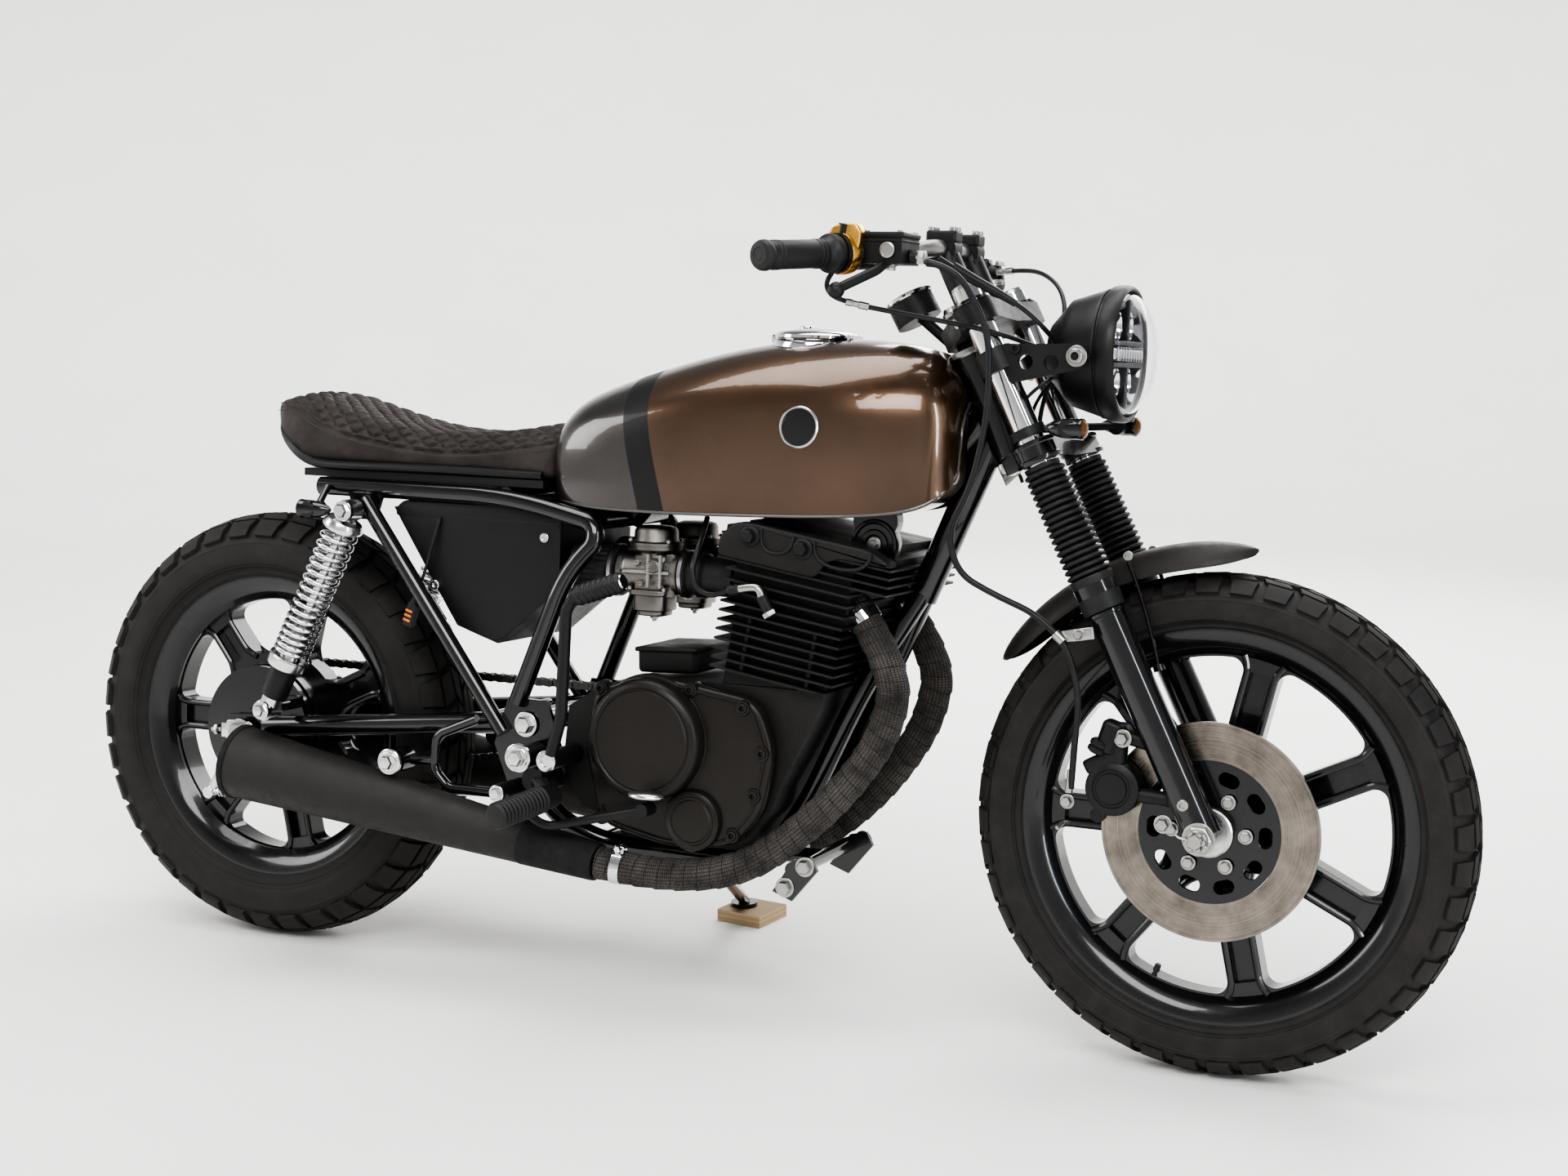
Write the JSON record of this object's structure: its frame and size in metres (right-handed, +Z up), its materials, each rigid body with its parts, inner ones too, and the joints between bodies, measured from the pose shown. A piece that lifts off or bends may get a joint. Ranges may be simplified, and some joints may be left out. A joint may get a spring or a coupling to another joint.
{
  "type": "cafe racer motorcycle",
  "caption": "Two-wheeled cafe racer standing on its side stand, with a steering fork, turning cast wheels, an upright parallel engine, a long fuel tank, a padded saddle and cone mufflers.",
  "frame": {"origin": "middle of the floor area under the motorcycle as it leans on its side stand", "axes": "+X forward, +Y to the rider's left, +Z up; the motorcycle leans 4 degrees to its left"},
  "size_m": [2.0025, 0.7107, 1.035],
  "materials": {
    "frame_paint": "gloss black",
    "engine_black": "satin black",
    "cast_alloy": "as cast",
    "pipe_wrap": "woven wrap",
    "muffler_black": "matt black",
    "tank_paint": "metallic gloss",
    "bright_chrome": "polished",
    "saddle_leather": "soft satin",
    "satin_black": "satin black",
    "steel": "brushed",
    "damper_silver": "satin",
    "slider_black": "gloss black",
    "wheel_black": "gloss black",
    "soft_rubber": "matt",
    "tyre_rubber": "matt",
    "lamp_glass": "clear",
    "plywood": "raw"
  },
  "bodies": {
    "chassis": {"frame_backbone": "frame_paint", "frame_cradle": "frame_paint", "seat_frame": "frame_paint", "hangers": "frame_paint", "crankcase": "engine_black", "engine_covers": "engine_black", "cylinders": "engine_black", "carburettors": "cast_alloy", "headers": "pipe_wrap", "mufflers": "muffler_black", "fuel_tank": "tank_paint", "fuel_cap": "bright_chrome", "seat_pad": "saddle_leather", "seat_pan": "satin_black", "side_box": "satin_black", "rear_indicators": "satin_black", "swing_arm": "frame_paint", "rear_axle": "steel", "shock_absorbers": "damper_silver", "shock_springs": "bright_chrome", "foot_controls": "satin_black", "drive_chain": "steel", "horn": "satin_black", "stand_block": "plywood"},
    "steering": {"lower_clamp": "frame_paint", "upper_clamp": "frame_paint", "fork_tubes": "bright_chrome", "fork_sliders": "slider_black", "fork_gaiters": "soft_rubber", "front_axle": "steel", "front_fender": "satin_black", "handlebar": "steel", "grips": "soft_rubber", "bar_controls": "satin_black", "headlight_shell": "satin_black", "headlight_lens": "lamp_glass", "headlight_brackets": "frame_paint", "brake_caliper": "slider_black", "brake_hose": "soft_rubber"},
    "front_wheel": {"front_rim": "wheel_black", "front_tyre": "tyre_rubber", "brake_disc": "steel"},
    "rear_wheel": {"rear_rim": "wheel_black", "rear_tyre": "tyre_rubber", "rear_sprocket": "steel"},
    "side_stand": {"side_stand": "frame_paint"}
  },
  "joints": [
    {"name": "steering_turn", "type": "hinge", "parent": "chassis", "child": "steering", "pos_m": [0.37922, -0.01188, 0.80392], "axis": [-0.454, 0.0622, 0.8888], "range_deg": [-36, 36]},
    {"name": "front_wheel_spin", "type": "hinge", "parent": "steering", "child": "front_wheel", "pos_m": [0.69175, -0.0465, 0.30894], "axis": [0, 0.9976, -0.0698], "continuous": true},
    {"name": "rear_wheel_spin", "type": "hinge", "parent": "chassis", "child": "rear_wheel", "pos_m": [-0.69325, -0.0466, 0.30744], "axis": [0, 0.9976, -0.0698], "continuous": true},
    {"name": "side_stand_fold", "type": "hinge", "parent": "chassis", "child": "side_stand", "pos_m": [-0.02525, 0.02617, 0.14397], "axis": [0.0121, 0.4665, 0.8844], "range_deg": [0, 73]}
  ]
}
